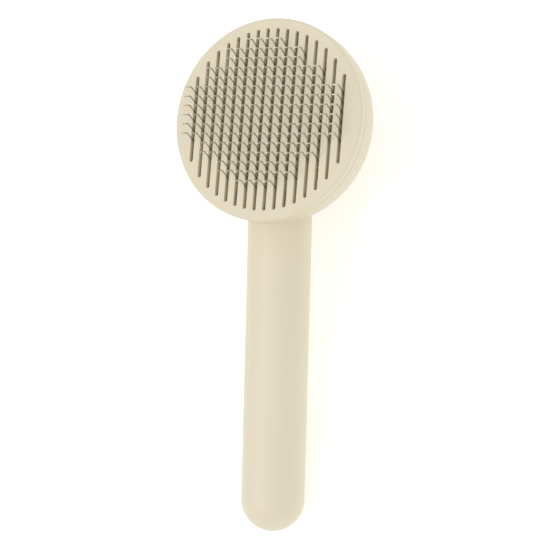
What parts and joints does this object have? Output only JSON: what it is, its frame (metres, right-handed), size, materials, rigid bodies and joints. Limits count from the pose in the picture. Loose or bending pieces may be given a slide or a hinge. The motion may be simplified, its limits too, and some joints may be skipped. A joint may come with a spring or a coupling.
{
  "type": "slicker brush",
  "caption": "Round-headed slicker brush with bent wire needles in a slotted face plate, a straight round handle and a rear push button that ejects hair.",
  "frame": {"origin": "centre of the push button's flat rear face, on the axis of the round head", "axes": "+Z the way the needles point, +Y to the top of the head with the handle towards -Y, +X to the right seen from the needle side"},
  "size_m": [0.076, 0.1919, 0.0547],
  "materials": {
    "cream_shell": "satin",
    "inner_plastic": "matte",
    "needle_steel": "polished",
    "fastener_steel": "zinc plated"
  },
  "bodies": {
    "housing": {"front_housing": "cream_shell", "rear_housing": "cream_shell", "needle_plate": "inner_plastic", "needle_backing": "inner_plastic", "pin_strip_1": "needle_steel", "pin_strip_2": "needle_steel", "pin_strip_3": "needle_steel", "pin_strip_4": "needle_steel", "pin_strip_5": "needle_steel", "pin_strip_6": "needle_steel", "pin_strip_7": "needle_steel", "pin_strip_8": "needle_steel", "plate_screw_1": "fastener_steel", "plate_screw_2": "fastener_steel", "plate_screw_3": "fastener_steel", "plate_screw_4": "fastener_steel", "head_screw_1": "fastener_steel", "head_screw_2": "fastener_steel", "handle_screw_1": "fastener_steel", "handle_screw_2": "fastener_steel", "return_spring": "fastener_steel"},
    "ejector": {"ejector_cap": "cream_shell", "ejector_frame": "inner_plastic", "push_button": "cream_shell", "button_screw": "fastener_steel"}
  },
  "joints": [
    {"name": "button_press", "type": "slide", "parent": "housing", "child": "ejector", "axis": [0, 0, 1], "range_m": [0, 0.01], "stiffness_N_per_m": 600, "springref_m": -0.012, "deforming": ["return_spring"]}
  ]
}
